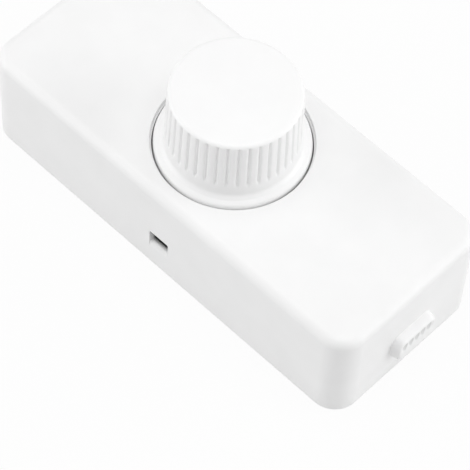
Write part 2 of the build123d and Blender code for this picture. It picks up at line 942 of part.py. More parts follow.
def switch_case():
    """Moulded case of the mains switch, between the potentiometer and the board."""
    case = disc(pot_radius, board_top, pot_bottom)
    case = chamfer(case.faces().sort_by(Axis.Z)[0].edges(), shaft_chamfer)
    case -= disc(switch_pocket_radius, pot_bottom - switch_pocket_depth, pot_bottom + over)
    hole = 2 * (pin_radius + pin_clearance)
    for x, y in ring_places(switch_pin_circle, switch_pin_angles):
        case -= block(hole, hole, board_top - over, board_top + switch_height / 3, x, y)
    for angle in pot_pin_angles:
        slot = block(
            2 * over, pot_pin_width + over / 2, board_top - over, pot_bottom + over, pot_radius + over / 2, 0
        )
        case -= Rot(0, 0, angle) * slot
    return case


def switch_terminals():
    """The switch's three pins."""
    pins = None
    for x, y in ring_places(switch_pin_circle, switch_pin_angles):
        one = pin(x, y, board_top + switch_height / 3)
        pins = one if pins is None else pins + one
    return pins


def pot_shaft():
    """Turning shaft with a flat for the knob and a cam at its tail."""
    bottom = pot_bottom - shaft_tail
    shaft = disc(shaft_radius, bottom, shaft_top)
    shaft = chamfer(shaft.edges().filter_by(GeomType.CIRCLE).sort_by(Axis.Z)[-1], shaft_chamfer)
    flat_x = shaft_flat + shaft_radius
    shaft -= block(2 * shaft_radius, 3 * shaft_radius, shaft_flat_start, shaft_top + over, flat_x, 0)
    cam = block(cam_size, cam_size, bottom, bottom + cam_size, shaft_radius, 0)
    return shaft + cam


def pot_rotor():
    """Disc that turns with the shaft and carries the wiper."""
    bottom = wafer_top + rotor_rise
    rotor = disc(rotor_radius, bottom, bottom + rotor_thickness)
    rotor = chamfer(rotor.faces().sort_by(Axis.Z)[-1].edges(), rotor_thickness / 4)
    return rotor - disc(shaft_radius + rotor_fit, bottom - over, bottom + rotor_thickness + over)


def wiper():
    """Springy contact under the rotor, with its tip close over the track."""
    rotor_bottom = wafer_top + rotor_rise
    tip = wafer_top + track_thickness + wiper_gap
    middle = track_outer_radius - track_width / 2
    leaf_top = rotor_bottom - wiper_thickness
    outline = Polyline(
        (shaft_radius + wiper_gap, rotor_bottom),
        (shaft_radius + wiper_gap, leaf_top),
        (middle - wiper_thickness, tip),
        (middle + wiper_thickness, tip),
        (middle + wiper_thickness, tip + wiper_thickness),
        (shaft_radius + wiper_width / 2, rotor_bottom),
        close=True,
    )
    return extrude(Plane.XZ * make_face(outline), wiper_width / 2, both=True)


def knob_outline():
    """Half section of the knob's outer form, from its skirt up to its crown."""
    skirt = well_floor_top + knob_floor_gap
    rim = body_height
    top = body_height + knob_height
    edge = knob_flange_edge
    skirt_side = Line((knob_flange_radius, skirt), (knob_flange_radius, rim - edge))
    flange_edge = Line(skirt_side @ 1, (knob_flange_radius - edge, rim))
    slope_end = (knob_flange_slope_radius, rim + knob_flange_rise)
    flange_top = Line(flange_edge @ 1, slope_end)
    flare = TangentArc(
        slope_end, (knob_root_radius, rim + knob_root_rise), tangent=flange_top % 1
    )
    side = Line(flare @ 1, (knob_top_radius, top - knob_top_edge))
    top_edge = TangentArc(side @ 1, (knob_top_radius - knob_top_edge, top), tangent=side % 1)
    inside = Polyline(top_edge @ 1, (0, top + knob_crown), (0, skirt), skirt_side @ 0)
    return make_face([skirt_side, flange_edge, flange_top, flare, side, top_edge, inside])


def groove_cutter():
    """Wedge that cuts one grip groove, leaning in with the knob's side."""
    foot = Vector(knob_root_radius, 0, body_height + groove_start)
    lean = Line(foot, (knob_top_radius, 0, body_height + knob_height - groove_below_top))
    outline = Polyline(
        (-groove_depth, -groove_floor / 2),
        (over, -groove_floor / 2 - groove_flare),
        (over, groove_floor / 2 + groove_flare),
        (-groove_depth, groove_floor / 2),
        close=True,
    )
    section = Plane(origin=foot, x_dir=(1, 0, 0), z_dir=lean % 0) * make_face(outline)
    return sweep(section, path=lean)


def knob():
    """Hollow grooved knob with its skirt, ribs and bored hub."""
    skirt = well_floor_top + knob_floor_gap
    top = body_height + knob_height
    roof_below = top - knob_roof
    body = revolve(Plane.XZ * knob_outline(), Axis.Z)
    cutter = groove_cutter()
    for index in range(groove_count):
        body -= Rot(0, 0, groove_phase + index * 360 / groove_count) * cutter
    inside = knob_top_radius - groove_depth - knob_wall
    hollow = disc(inside, skirt - over, roof_below)
    flange_hollow = disc(
        knob_flange_radius - knob_flange_thickness, skirt - over, body_height - knob_flange_thickness
    )
    body -= hollow + flange_hollow
    hub_bottom = bushing_top + hub_gap
    hub = disc(hub_radius, hub_bottom, roof_below + over / 2)
    for index in range(hub_rib_count):
        rib = block(
            inside + knob_wall / 2, hub_rib_width, body_height + hub_rib_start, roof_below + over / 2,
            (inside + knob_wall / 2) / 2, 0,
        )
        hub += Rot(0, 0, (index + 0.5) * 360 / hub_rib_count) * rib
    body += hub
    bore = shaft_radius + hub_bore_fit
    round_bore = disc(bore, hub_bottom - over, shaft_top + over / 2)
    flat_place = shaft_flat + clip_leaf + 2 * hub_bore_fit
    key = block(
        2 * bore, 3 * bore, shaft_flat_start + hub_bore_fit, shaft_top + over, flat_place + bore, 0
    )
    return body - (round_bore - key)


def knob_clip():
    """Leaf of spring steel between the shaft's flat and the hub."""
    start = shaft_flat + hub_bore_fit
    bottom = shaft_flat_start + 2 * hub_bore_fit + over / 2
    return block(clip_leaf, clip_leaf_width, bottom, bottom + clip_leaf_height, start + clip_leaf / 2, 0)


def other_end(shape):
    """The shape turned to the -X end."""
    return Rot(0, 0, 180) * shape


nodes = {
    "cover": cover(),
    "base_plate": base_plate(),
    "cord_grommet_in": other_end(cord_grommet()),
    "cord_grommet_out": cord_grommet(),
    "cord_clamp_in": other_end(cord_clamp()),
    "cord_clamp_out": cord_clamp(),
    "clamp_screws": clamp_screws(),
    "circuit_board": circuit_board(),
    "board_screws": board_screws(),
    "terminal_block_in": other_end(terminal_block()),
    "terminal_block_out": terminal_block(),
    "terminal_cages": terminal_cages(),
    "terminal_screws": terminal_screws(),
    "fuse_tube": fuse_tube(),
    "fuse_caps": fuse_caps(),
    "fuse_clips": fuse_clips(),
    "suppression_capacitor": suppression_capacitor(),
    "timing_capacitor": timing_capacitor(),
    "resistors": resistors(),
    "diac": diac(),
    "triac_body": triac_body(),
    "triac_tab": triac_tab(),
    "heat_sink": heat_sink(),
    "heat_sink_screw": heat_sink_screw(),
    "heat_sink_nut": heat_sink_nut(),
    "choke_core": choke_core(),
    "choke_winding": choke_winding(),
    "pot_can": pot_can(),
    "pot_bushing": pot_bushing(),
    "pot_wafer": pot_wafer(),
    "carbon_track": carbon_track(),
    "pot_terminals": pot_terminals(),
    "switch_case": switch_case(),
    "switch_terminals": switch_terminals(),
    "pot_shaft": pot_shaft(),
    "pot_rotor": pot_rotor(),
    "wiper": wiper(),
    "knob": knob(),
    "knob_clip": knob_clip(),
}

os.makedirs("parts", exist_ok=True)
for name, shape in nodes.items():
    export_step(shape, f"parts/{name}.step")
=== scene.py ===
# %% [markdown]
# A rotary dimmer for a lamp cord, in white plastic
#
# The dimmer is a long rounded box with a grooved knob in a round well. The construction is
# already made at its real size, so here the outer pieces get finer meshes with soft edges,
# and everything gets a finish. The frame gives the size and place of every part in metres,
# so nothing has to be fitted by eye.

import json
from math import atan2, copysign, cos, degrees, pi, radians, sin, sqrt, tan

import bmesh
import bpy
from mathutils import Matrix, Quaternion, Vector


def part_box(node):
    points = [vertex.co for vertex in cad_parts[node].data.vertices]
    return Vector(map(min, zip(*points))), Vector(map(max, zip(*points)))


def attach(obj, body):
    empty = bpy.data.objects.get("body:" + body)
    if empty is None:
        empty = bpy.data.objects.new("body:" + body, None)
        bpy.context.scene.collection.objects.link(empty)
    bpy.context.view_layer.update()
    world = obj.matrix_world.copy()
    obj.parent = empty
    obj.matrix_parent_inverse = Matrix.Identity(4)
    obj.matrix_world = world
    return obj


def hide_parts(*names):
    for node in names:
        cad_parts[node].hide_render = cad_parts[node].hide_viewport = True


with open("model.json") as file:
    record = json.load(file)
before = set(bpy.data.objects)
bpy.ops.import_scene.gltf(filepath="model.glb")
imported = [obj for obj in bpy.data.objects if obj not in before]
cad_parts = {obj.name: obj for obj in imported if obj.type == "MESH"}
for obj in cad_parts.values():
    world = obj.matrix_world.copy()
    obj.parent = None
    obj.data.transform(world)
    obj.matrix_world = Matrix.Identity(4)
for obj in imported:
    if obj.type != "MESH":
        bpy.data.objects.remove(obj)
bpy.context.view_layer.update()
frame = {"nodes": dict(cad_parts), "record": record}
nodes = frame["nodes"]
mm = 0.001

# %% [markdown]
# The camera
#
# The photograph is a close three-quarter view from above, taken with a long lens, so the
# long edges hardly converge. A camera is easiest to read as a direction from which it looks,
# a distance, and a point it looks at. The last turn about its own axis is a slight roll,
# because the photographer did not hold the camera level.

# %% Camera
view_azimuth = radians(40.75)
view_elevation = radians(57.48)
view_roll = radians(4.25)
view_target = Vector((14.8, -14.6, 23.2)) * mm
view_distance = 494.7 * mm
lens_length = 210.2
sensor_width = 36.0


def direction(azimuth, elevation):
    """Unit vector from the object towards a place round it. Azimuth 0 is the -Y side."""
    flat = cos(elevation)
    return Vector((sin(azimuth) * flat, -cos(azimuth) * flat, sin(elevation)))


def aim(thing, target, place, roll=0.0):
    """Put a camera or lamp at a place, looking at a target."""
    turned = (place - target).to_track_quat("Z", "Y") @ Quaternion((0, 0, 1), roll)
    thing.rotation_mode = "QUATERNION"
    thing.location = place
    thing.rotation_quaternion = turned


def add_object(name, data):
    """A new object in the scene."""
    made = bpy.data.objects.new(name, data)
    bpy.context.scene.collection.objects.link(made)
    return made


camera = add_object("camera", bpy.data.cameras.new("camera"))
camera.data.sensor_width = sensor_width
camera.data.lens = lens_length
camera.data.clip_start = 10 * mm
camera.data.clip_end = 10.0
aim(camera, view_target, view_target + view_distance * direction(view_azimuth, view_elevation), view_roll)
bpy.context.scene.camera = camera
print("camera at", [round(v / mm) for v in camera.location], "mm")

# %% [markdown]
# Light and floor
#
# White on white is lit by a tent: pale light from everywhere, one large soft box overhead and
# one on either side of the camera. What faces the camera itself is then the darkest part,
# which draws the upright corner, the front of the knob and its grooves. The colour of the
# floor and the world is what makes the background white, and not more light on the object:
# camera rays see them white, while their light stays at a plain level.

# %% Levels and places of the light
tent_level = 0.68
backdrop_level = 1.0
box_distance = 0.70
side_size = 0.45
top_size = 0.60
left_power = 1.35
right_power = 1.65
top_power = 1.75
side_elevation = radians(21)
top_elevation = radians(88)
left_place = (view_azimuth - pi / 2, side_elevation)
right_place = (view_azimuth + pi / 2, side_elevation)
top_place = (view_azimuth, top_elevation)


# %% Helpers for shaders
def feed(tree, value, socket):
    """Link a result to a socket, or set a plain number or colour on it."""
    if isinstance(value, bpy.types.NodeSocket):
        tree.links.new(value, socket)
    else:
        socket.default_value = value


def calculate(tree, operation, *values):
    """Result of one sum in a material."""
    node = tree.nodes.new("ShaderNodeMath")
    node.operation = operation
    for socket, value in zip(node.inputs, values):
        feed(tree, value, socket)
    return node.outputs[0]


def seen_rays(tree):
    """Socket that is 1 for what the camera sees, directly, in a gloss or through glass."""
    path = tree.nodes.new("ShaderNodeLightPath").outputs
    direct_or_gloss = calculate(tree, "MAXIMUM", path["Is Camera Ray"], path["Is Glossy Ray"])
    return calculate(tree, "MAXIMUM", direct_or_gloss, path["Is Transmission Ray"])


# %% World
def light_tent():
    """World that lights evenly and looks white."""
    world = bpy.data.worlds.new("light_tent")
    world.use_nodes = True
    tree = world.node_tree
    tree.nodes.clear()
    lighting = tree.nodes.new("ShaderNodeBackground")
    lighting.inputs["Strength"].default_value = tent_level
    backdrop = tree.nodes.new("ShaderNodeBackground")
    backdrop.inputs["Strength"].default_value = backdrop_level
    both = tree.nodes.new("ShaderNodeMixShader")
    tree.links.new(seen_rays(tree), both.inputs[0])
    tree.links.new(lighting.outputs[0], both.inputs[1])
    tree.links.new(backdrop.outputs[0], both.inputs[2])
    output = tree.nodes.new("ShaderNodeOutputWorld")
    tree.links.new(both.outputs[0], output.inputs["Surface"])
    bpy.context.scene.world = world


light_tent()
print("tent at level", tent_level)


# %% Soft boxes
def soft_box(name, place, power, size):
    """Large square lamp that looks at the middle of the object."""
    lamp = bpy.data.lights.new(name, "AREA")
    lamp.shape = "SQUARE"
    lamp.size = size
    lamp.energy = power
    box = add_object(name, lamp)
    box.visible_camera = False
    aim(box, Vector((0, 0, 0)), box_distance * direction(*place))
    print(name, "at azimuth", round(degrees(place[0])), "with", power, "W")


soft_box("left_box", left_place, left_power, side_size)
soft_box("right_box", right_place, right_power, side_size)
soft_box("top_box", top_place, top_power, top_size)

# %% Floor
floor_size = 6.0
floor_white = 0.80
floor_glow = 0.93


def pale_floor():
    """Floor that is almost white to the eye and still takes the object's shadow."""
    material = bpy.data.materials.new("pale_floor")
    material.use_nodes = True
    tree = material.node_tree
    tree.nodes.clear()
    paper = tree.nodes.new("ShaderNodeBsdfDiffuse")
    paper.inputs["Color"].default_value = (floor_white, floor_white, floor_white, 1)
    glow = tree.nodes.new("ShaderNodeEmission")
    both = tree.nodes.new("ShaderNodeMixShader")
    tree.links.new(calculate(tree, "MULTIPLY", seen_rays(tree), floor_glow), both.inputs[0])
    tree.links.new(paper.outputs[0], both.inputs[1])
    tree.links.new(glow.outputs[0], both.inputs[2])
    output = tree.nodes.new("ShaderNodeOutputMaterial")
    tree.links.new(both.outputs[0], output.inputs["Surface"])
    sheet = bmesh.new()
    bmesh.ops.create_grid(sheet, x_segments=4, y_segments=4, size=floor_size / 2)
    mesh = bpy.data.meshes.new("floor")
    sheet.to_mesh(mesh)
    sheet.free()
    mesh.materials.append(material)
    add_object("floor", mesh)


pale_floor()
bpy.context.scene.view_settings.view_transform = "Standard"
print("floor of", floor_size, "m on each side")

# %% [markdown]
# Finishes
#
# No real surface is one flat colour. A moulded plastic has cloudy tones a few millimetres
# across, a gloss that wanders, and a fine grain from the spark-eroded mould. All three come
# from noise on the object's own coordinates, so they stay on the piece from every side and
# need no pictures. One helper lays the three down, and each finish then only says its tones,
# its gloss and its relief.

# %% Noise, tones and relief
slot_colours = {entry["slot"]: entry["base_color"] for entry in frame["record"]["materials"]}
materials = {}
noise_low = 0.3
noise_high = 0.7
print("finishes to make:", len(slot_colours))


def noise(tree, size, detail=2.0, fineness=(1, 1, 1)):
    """Noise of a given grain size in metres, in the piece's own coordinates."""
    place = tree.nodes.new("ShaderNodeTexCoord")
    mapping = tree.nodes.new("ShaderNodeMapping")
    mapping.inputs["Scale"].default_value = fineness
    texture = tree.nodes.new("ShaderNodeTexNoise")
    texture.inputs["Scale"].default_value = 1 / size
    texture.inputs["Detail"].default_value = detail
    tree.links.new(place.outputs["Object"], mapping.inputs["Vector"])
    tree.links.new(mapping.outputs["Vector"], texture.inputs["Vector"])
    return texture.outputs["Fac"]


def spread(tree, value, low, high):
    """Stretch the middle of a noise, where most of its values lie, to run from low to high."""
    ranged = tree.nodes.new("ShaderNodeMapRange")
    ranged.inputs["From Min"].default_value = noise_low
    ranged.inputs["From Max"].default_value = noise_high
    ranged.inputs["To Min"].default_value = low
    ranged.inputs["To Max"].default_value = high
    tree.links.new(value, ranged.inputs["Value"])
    return ranged.outputs["Result"]


def two_tones(tree, factor, first, second):
    """Colour between two tones."""
    mix = tree.nodes.new("ShaderNodeMix")
    mix.data_type = "RGBA"
    feed(tree, factor, mix.inputs["Factor"])
    feed(tree, first, mix.inputs["A"])
    feed(tree, second, mix.inputs["B"])
    return mix.outputs["Result"]


def relief(tree, height, depth):
    """Bump of a given depth in metres."""
    bump = tree.nodes.new("ShaderNodeBump")
    bump.inputs["Distance"].default_value = depth
    tree.links.new(height, bump.inputs["Height"])
    return bump.outputs["Normal"]


# %% A whole finish
def finish(slot, tone_shift, patch, gloss, grain, depth, fineness=(1, 1, 1), lift=1.0, **shader):
    """Material with cloudy tones, a wandering gloss and a fine grain. Lift makes it paler."""
    material = bpy.data.materials.new(slot + "_finish")
    material.use_nodes = True
    tree = material.node_tree
    surface = tree.nodes["Principled BSDF"]
    colour = Vector(slot_colours[slot][:3]) * lift
    cloud = spread(tree, noise(tree, patch), 0.0, 1.0)
    darker, paler = (colour * (1 + shift) for shift in (-tone_shift, tone_shift))
    toned = two_tones(tree, cloud, (*darker, 1), (*paler, 1))
    tree.links.new(toned, surface.inputs["Base Color"])
    wander = spread(tree, noise(tree, patch / 3, fineness=fineness), *gloss)
    tree.links.new(wander, surface.inputs["Roughness"])
    grained = relief(tree, noise(tree, grain, detail=3.0, fineness=fineness), depth)
    tree.links.new(grained, surface.inputs["Normal"])
    for socket, value in shader.items():
        surface.inputs[socket.replace("_", " ")].default_value = value
    materials[slot] = material


# %% [markdown]
# The plastics
#
# The cover, base and knob are satin white, moulded with a fine grain, and the knob is a
# little smoother because fingers polish it. The grommets are a soft white plastic with a
# matt skin. Inside are a glass-clear fuse tube, lacquers, moulded cases and a green board.
# Each line gives the shift in tone, the size of its patches, the range of the gloss, the size
# of the grain and how deep the grain is.

# %% Plastics
finish("housing_plastic", 0.012, 9 * mm, (0.40, 0.52), 0.16 * mm, 0.004 * mm, IOR=1.53)
finish("knob_plastic", 0.010, 7 * mm, (0.34, 0.46), 0.14 * mm, 0.003 * mm, lift=1.03, IOR=1.53)
finish("grommet_soft", 0.015, 4 * mm, (0.55, 0.70), 0.12 * mm, 0.005 * mm, lift=1.04, IOR=1.50)
finish("clamp_plastic", 0.03, 3 * mm, (0.35, 0.5), 0.2 * mm, 0.004 * mm, Subsurface_Weight=0.2)
finish("terminal_plastic", 0.05, 3 * mm, (0.25, 0.4), 0.15 * mm, 0.003 * mm)
finish("capacitor_case", 0.04, 4 * mm, (0.2, 0.35), 0.3 * mm, 0.005 * mm)
finish("dipped_case", 0.08, 2 * mm, (0.12, 0.3), 0.8 * mm, 0.02 * mm, Coat_Weight=0.4)
finish("resistor_coat", 0.06, 1.5 * mm, (0.2, 0.35), 0.4 * mm, 0.01 * mm, Coat_Weight=0.3)
finish("diode_glass", 0.06, 1.5 * mm, (0.08, 0.2), 0.4 * mm, 0.004 * mm, Coat_Weight=0.5)
finish("black_epoxy", 0.15, 2 * mm, (0.45, 0.65), 0.1 * mm, 0.004 * mm)
finish("phenolic_wafer", 0.12, 1.5 * mm, (0.45, 0.65), 0.25 * mm, 0.006 * mm, fineness=(1, 4, 1))
finish("carbon_ink", 0.2, 0.8 * mm, (0.5, 0.75), 0.1 * mm, 0.003 * mm)
finish("core_paint", 0.05, 2 * mm, (0.3, 0.45), 0.5 * mm, 0.02 * mm)
finish("board_laminate", 0.08, 3 * mm, (0.2, 0.35), 0.4 * mm, 0.008 * mm, Coat_Weight=0.3)
finish("fuse_glass", 0.01, 3 * mm, (0.02, 0.06), 1.5 * mm, 0.002 * mm, Transmission_Weight=0.95)

# %% [markdown]
# The metals
#
# The metal pieces are small stock parts: zinc-plated screws, a rolled spring, plated brass
# contacts, tinned pins and an extruded heat sink. They differ in tone and gloss. What is
# rolled or extruded also has a streaky grain, from a noise that is finer across the streaks.

# %% Metals
finish("zinc_steel", 0.06, 2 * mm, (0.25, 0.42), 0.2 * mm, 0.003 * mm, Metallic=1.0)
finish("spring_steel", 0.08, 2 * mm, (0.25, 0.4), 0.1 * mm, 0.003 * mm, fineness=(1, 1, 6), Metallic=1.0)
finish("plated_brass", 0.06, 2 * mm, (0.2, 0.35), 0.15 * mm, 0.002 * mm, Metallic=1.0)
finish("nickel_cap", 0.04, 2 * mm, (0.15, 0.3), 0.2 * mm, 0.002 * mm, Metallic=1.0)
finish("tinned_copper", 0.06, 1 * mm, (0.2, 0.4), 0.2 * mm, 0.006 * mm, Metallic=1.0)
finish(
    "bare_aluminium", 0.05, 3 * mm, (0.3, 0.45), 0.12 * mm, 0.003 * mm,
    fineness=(1, 8, 8), Metallic=1.0,
)
finish(
    "enamelled_copper", 0.08, 1 * mm, (0.15, 0.3), 0.2 * mm, 0.002 * mm,
    Metallic=0.9, Coat_Weight=0.6,
)
print("finishes:", len(materials), "of", len(slot_colours))

# %% [markdown]
# Tools for building pieces
#
# A piece starts as a bmesh, is shaped by bmesh operators, and ends as an object that stands
# for its node. Faces are smooth but edges sharper than 35 degrees stay crisp, and a weighted
# normal modifier keeps the large flat faces flat beside their rounded edges. A flat face with
# openings is made by taking the face away and filling it again round the rims of the holes,
# which leaves no ragged cuts.

# %% Finding faces and rounding edges
crisp_angle = radians(35)
touching = 0.001 * mm
nearly_parallel = 0.999
up = Vector((0, 0, 1))


def flat_face(faces, facing):
    """The largest of some faces that looks in a direction."""
    ahead = [face for face in faces if face.is_valid and face.normal.dot(facing) > nearly_parallel]
    return max(ahead, key=lambda face: face.calc_area())


def edges_at(bm, height, radius=None):
    """Edges that lie at a height, or the ring of a radius at that height."""
    def lies_there(vert):
        level = abs(vert.co.z - height) < touching
        return level and (radius is None or abs(vert.co.xy.length - radius) < touching)

    return [edge for edge in bm.edges if all(lies_there(vert) for vert in edge.verts)]


def round_off(bm, geometry, radius, steps, affect="EDGES"):
    """Round some edges off, or the corners of an outline."""
    bmesh.ops.bevel(
        bm, geom=geometry, offset=radius, offset_type="OFFSET", segments=steps,
        profile=0.5, affect=affect, material=-1, clamp_overlap=False,
    )


# %% Blocks
def box_between(bm, low, high):
    """Plain block between two corners. Returns its corners."""
    low, high = Vector(low), Vector(high)
    size = Matrix.Diagonal((*(high - low), 1))
    middle = Matrix.Translation((low + high) / 2)
    return bmesh.ops.create_cube(bm, size=1, matrix=middle @ size)["verts"]


def rounded_block(bm, length, width, bottom, top, corner, steps):
    """Block with rounded upright edges. Returns its faces."""
    before = set(bm.faces)
    corners = box_between(bm, (-length / 2, -width / 2, bottom), (length / 2, width / 2, top))
    upright = {
        edge for vert in corners for edge in vert.link_edges
        if abs(edge.verts[0].co.z - edge.verts[1].co.z) > touching
    }
    round_off(bm, list(upright), corner, steps)
    bm.normal_update()
    return [face for face in bm.faces if face not in before]


# %% Rims of openings, and the faces round them
def rim(bm, width, height, corner, steps, place):
    """Rounded rectangle of edges with no face, in the X-Y plane of a placing matrix."""
    before = set(bm.edges)
    made = bmesh.ops.create_grid(bm, x_segments=1, y_segments=1, size=0.5)
    bmesh.ops.scale(bm, vec=(width, height, 1), verts=made["verts"])
    round_off(bm, made["verts"], corner, steps, affect="VERTICES")
    edges = [edge for edge in bm.edges if edge not in before]
    verts = list({vert for edge in edges for vert in edge.verts})
    bmesh.ops.delete(bm, geom=list(verts[0].link_faces), context="FACES_ONLY")
    bmesh.ops.transform(bm, matrix=place, verts=verts)
    return edges


def fill_between(bm, border, rims, facing):
    """Fill the flat area inside a border and round the rims of its holes."""
    edges = border + [edge for hole in rims for edge in hole]
    bmesh.ops.triangle_fill(bm, use_beauty=True, edges=edges, normal=facing)


def refill(bm, face, rims):
    """Fill a flat face again round the rims of its holes."""
    facing = face.normal.copy()
    border = list(face.edges)
    bmesh.ops.delete(bm, geom=[face], context="FACES_ONLY")
    fill_between(bm, border, rims, facing)


def side_place(y, height):
    """Placing matrix for an outline on a plane across Y."""
    return Matrix.Translation((0, y, height)) @ Matrix.Rotation(pi / 2, 4, "X")


def end_place(x, height):
    """Placing matrix for an outline on a plane across X. Its own X runs along Y, its own Z along X."""
    upright = Matrix.Rotation(pi / 2, 4, "Z") @ Matrix.Rotation(pi / 2, 4, "X")
    return Matrix.Translation((x, 0, height)) @ upright


# %% Outlines, turned round or drawn out
def rounded_outline(corners, steps=5):
    """Points of an open outline. Each corner is (across, height, radius of its rounding)."""
    points = [Vector(corners[0][:2])]
    for before, here, after in zip(corners, corners[1:], corners[2:]):
        corner, radius = Vector(here[:2]), here[2]
        if radius == 0:
            points.append(corner)
            continue
        back = (Vector(before[:2]) - corner).normalized()
        ahead = (Vector(after[:2]) - corner).normalized()
        half = back.angle(ahead) / 2
        centre = corner + (back + ahead).normalized() * radius / sin(half)
        start = (corner + back * radius / tan(half) - centre).normalized()
        stop = (corner + ahead * radius / tan(half) - centre).normalized()
        points += [centre + radius * start.slerp(stop, step / steps) for step in range(steps + 1)]
    return points + [Vector(corners[-1][:2])]


def turned(bm, outline, steps, cuts=()):
    """Turn an outline of (radius, height) points all the way round the upright axis."""
    before = set(bm.verts)
    verts = [bm.verts.new((radius, 0, height)) for radius, height in outline]
    edges = [bm.edges.new(pair) for pair in zip(verts, verts[1:])]
    for index, count in cuts:
        bmesh.ops.subdivide_edges(bm, edges=[edges[index]], cuts=count)
    line = [vert for vert in bm.verts if vert not in before]
    line_edges = list({edge for vert in line for edge in vert.link_edges})
    bmesh.ops.spin(
        bm, geom=line + line_edges, cent=(0, 0, 0), axis=(0, 0, 1), dvec=(0, 0, 0),
        angle=2 * pi, steps=steps, use_merge=True,
    )
    made = [vert for vert in bm.verts if vert not in before]
    bmesh.ops.remove_doubles(bm, verts=made, dist=touching)
    return [vert for vert in bm.verts if vert not in before]


def prism(bm, outline, length, place):
    """Outline of (across, height) points drawn out along the Z of a placing matrix."""
    verts = [bm.verts.new((across, height, -length / 2)) for across, height in outline]
    face = bm.faces.new(verts)
    drawn = bmesh.ops.extrude_face_region(bm, geom=[face], use_keep_orig=True)["geom"]
    far = [item for item in drawn if isinstance(item, bmesh.types.BMVert)]
    bmesh.ops.translate(bm, vec=(0, 0, length), verts=far)
    bmesh.ops.transform(bm, matrix=place, verts=verts + far)


# %% From a bmesh to a finished piece
def tidy_normals(bm):
    """Merge what touches and turn all normals outwards."""
    bmesh.ops.remove_doubles(bm, verts=bm.verts, dist=touching)
    bmesh.ops.recalc_face_normals(bm, faces=bm.faces)


def make_piece(bm, name, slot, body, *stands_for):
    """Turn a bmesh into a finished piece that stands for CAD nodes."""
    tidy_normals(bm)
    for face in bm.faces:
        face.smooth = True
    for edge in bm.edges:
        edge.smooth = edge.is_manifold and edge.calc_face_angle() < crisp_angle
    open_edges = sum(1 for edge in bm.edges if not edge.is_manifold)
    mesh = bpy.data.meshes.new(name)
    bm.to_mesh(mesh)
    bm.free()
    mesh.materials.append(materials[slot])
    piece = add_object(name, mesh)
    weighted = piece.modifiers.new("flat_faces_stay_flat", "WEIGHTED_NORMAL")
    weighted.keep_sharp = True
    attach(piece, body)
    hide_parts(*stands_for)
    print(name, "has", len(mesh.polygons), "faces and", open_edges, "open edges")


# %% [markdown]
# The cover
#
# On the real thing this is one injection-moulded shell with a thin wall and a round well in
# its roof. It could be carved with booleans, but they leave ragged triangles along the round
# edges. Instead the outside and the inside are two rounded blocks, the well is one turned
# outline, and each flat face is filled again round the rims of its openings. The two skins
# are then bridged along those rims, which gives the wall its thickness. The wall below each
# window is scooped out, so that a flat tool finds its way in. A small step inside the well
# catches some light, so that the gap round the knob isn't one black line.

# %% Sizes of the cover
cover_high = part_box("cover")[1]
half_length = cover_high.x
half_width = cover_high.y
cover_top = cover_high.z
wall = 1.3 * mm
roof_underside = cover_top - 2.0 * mm
inner_side = half_width - wall
corner_radius = 5.3 * mm
corner_steps = 20
top_edge_radius = 2.0 * mm
bottom_edge = 0.3 * mm
knob_gap = 0.6 * mm
well_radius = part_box("knob")[1].x + knob_gap
well_rim = 0.15 * mm
step_height = 0.95 * mm
step_reach = 0.36 * mm
well_floor = cover_top - 4.0 * mm
cup_radius = well_radius + 1.3 * mm
cup_bottom = well_floor - 1.6 * mm
shaft_hole = 4.05 * mm
window_width = 4.7 * mm
window_height = 3.6 * mm
window_bottom = 6.6 * mm
window_corner = 0.25 * mm
scoop_height = 1.8 * mm
scoop_flare = 0.05 * mm
scoop_depth = 0.8 * mm
inner_drop = 0.12 * mm
inner_depth = 0.5 * mm
window_rim_count = 10
inlet_width = 8.8 * mm
inlet_height = 4.5 * mm
inlet_corner = 1.2 * mm
inlet_middle = 9.05 * mm
round_steps = 160
print("cover in mm:", [round(v / mm, 1) for v in (2 * half_length, 2 * half_width, cover_top)])

# %% Sizes of what is moulded inside it
rib_places = (22 * mm, 34 * mm)
rib_width = 1.2 * mm
rib_depth = 0.9 * mm
rib_bottom = 2.0 * mm
rib_top = 16.5 * mm
ledge_place = 28 * mm
ledge_width = 5.4 * mm
ledge_top = 5.2 * mm
ledge_bottom = 3.8 * mm
ledge_foot = 3.0 * mm
ledge_reach = 0.9 * mm
sunk = 0.5 * mm


# %% Outline of the well
def well_outline():
    """From the roof down the well, through the shaft hole and back up behind the well's wall."""
    return rounded_outline([
        (well_radius + well_rim, cover_top, 0),
        (well_radius, cover_top, well_rim),
        (well_radius, cover_top - step_height, 0.1 * mm),
        (well_radius - step_reach, cover_top - step_height, 0.1 * mm),
        (well_radius - step_reach, well_floor, 0.3 * mm),
        (shaft_hole, well_floor, 0.1 * mm),
        (shaft_hole, cup_bottom, 0),
        (cup_radius, cup_bottom, 0.2 * mm),
        (cup_radius, roof_underside, 0),
    ])


# %% Openings through the wall
def open_both_skins(bm, outside, inside, facing, rims):
    """Fill an outer and an inner flat face round their rims and join the rims into a hole."""
    refill(bm, flat_face(outside, facing), [rims[0]])
    refill(bm, flat_face(inside, facing), [rims[-1]])
    for outer, inner in zip(rims, rims[1:]):
        bmesh.ops.bridge_loops(bm, edges=outer + inner)


def window_rims(bm, side):
    """Rims of a window from outside to inside. Its sill is scooped out towards the outside."""
    rims = []
    for step in range(window_rim_count + 1):
        depth = wall * (step / window_rim_count) ** 2
        outward = max(1 - depth / scoop_depth, 0)
        inward = max(1 - (wall - depth) / inner_depth, 0)
        scoop = 1 - sqrt(1 - outward * outward)
        width = window_width + 2 * scoop_flare * scoop
        bottom = window_bottom - scoop_height * scoop - inner_drop * inward * inward
        top = window_bottom + window_height
        place = side_place(side * (half_width - depth), (bottom + top) / 2)
        rims.append(rim(bm, width, top - bottom, window_corner, 3, place))
    return rims


